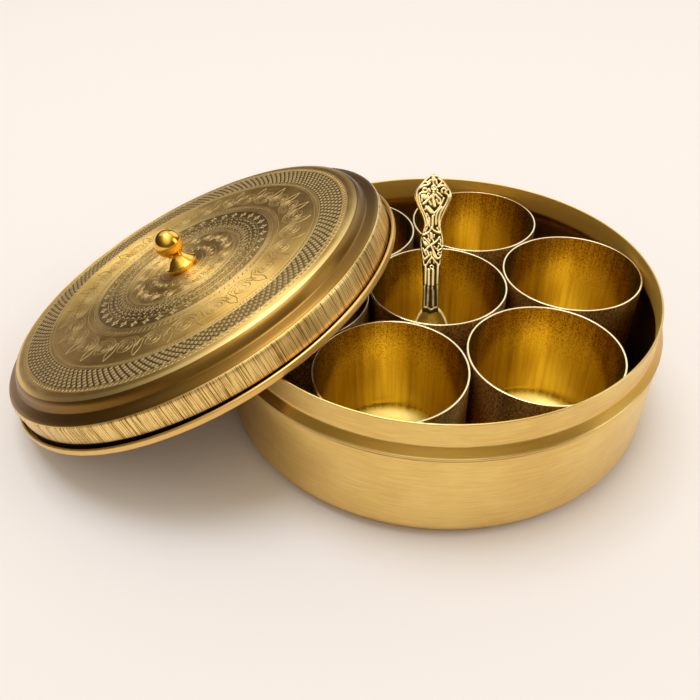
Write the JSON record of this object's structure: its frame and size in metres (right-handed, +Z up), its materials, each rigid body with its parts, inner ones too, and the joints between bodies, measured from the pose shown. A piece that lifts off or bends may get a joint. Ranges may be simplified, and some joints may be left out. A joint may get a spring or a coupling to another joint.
{
  "type": "spice box",
  "caption": "Round brass spice box with a stepped collar, loose inner cups, a leaning two-step lid with a ball knob, and an ornate spoon in the middle cup.",
  "frame": {"origin": "centre of the box's flat foot, on the table", "axes": "+Z up out of the box's mouth; the lid leans on the box's -X side; -Y is the front, where the picture was taken from"},
  "size_m": [0.3226, 0.2108, 0.0944],
  "materials": {
    "box_brass": "satin, turned in fine rings",
    "cup_brass": "polished inside, brushed walls, bright rim",
    "lid_brass": "satin with engraved plate and dark patina in the lines",
    "knob_brass": "mirror polish",
    "screw_brass": "plain turned",
    "spoon_brass": "cast, rubbed bright over dark patina"
  },
  "bodies": {
    "box": {"box_body": "box_brass"},
    "lid": {"lid_shell": "lid_brass", "lid_ring": "lid_brass", "knob": "knob_brass", "knob_washer": "screw_brass", "knob_screw": "screw_brass"},
    "cup_center_body": {"cup_center": "cup_brass"},
    "cup_right_body": {"cup_right": "cup_brass"},
    "cup_back_body": {"cup_back": "cup_brass"},
    "cup_back_left_body": {"cup_back_left": "cup_brass"},
    "cup_left_body": {"cup_left": "cup_brass"},
    "cup_front_left_body": {"cup_front_left": "cup_brass"},
    "cup_front_right_body": {"cup_front_right": "cup_brass"},
    "spoon_body": {"spoon": "spoon_brass"}
  },
  "joints": [
    {"name": "lid_lift", "type": "slide", "parent": "box", "child": "lid", "axis": [0, 0, 1], "range_m": [0, 0.2]},
    {"name": "cup_center_lift", "type": "slide", "parent": "box", "child": "cup_center_body", "axis": [0, 0, 1], "range_m": [0, 0.07]},
    {"name": "cup_right_lift", "type": "slide", "parent": "box", "child": "cup_right_body", "axis": [0, 0, 1], "range_m": [0, 0.07]},
    {"name": "cup_back_lift", "type": "slide", "parent": "box", "child": "cup_back_body", "axis": [0, 0, 1], "range_m": [0, 0.07]},
    {"name": "cup_back_left_lift", "type": "slide", "parent": "box", "child": "cup_back_left_body", "axis": [0, 0, 1], "range_m": [0, 0.07]},
    {"name": "cup_left_lift", "type": "slide", "parent": "box", "child": "cup_left_body", "axis": [0, 0, 1], "range_m": [0, 0.07]},
    {"name": "cup_front_left_lift", "type": "slide", "parent": "box", "child": "cup_front_left_body", "axis": [0, 0, 1], "range_m": [0, 0.07]},
    {"name": "cup_front_right_lift", "type": "slide", "parent": "box", "child": "cup_front_right_body", "axis": [0, 0, 1], "range_m": [0, 0.07]},
    {"name": "spoon_lift", "type": "slide", "parent": "cup_center_body", "child": "spoon_body", "axis": [0, 0, 1], "range_m": [0, 0.07]}
  ],
  "couplings": [
    {"joint": "cup_center_lift", "follows": "lid_lift", "ratio": 0.35},
    {"joint": "cup_back_left_lift", "follows": "lid_lift", "ratio": 0.35},
    {"joint": "cup_left_lift", "follows": "lid_lift", "ratio": 0.35},
    {"joint": "cup_front_left_lift", "follows": "lid_lift", "ratio": 0.35},
    {"joint": "cup_back_lift", "follows": "spoon_lift", "ratio": 1}
  ]
}
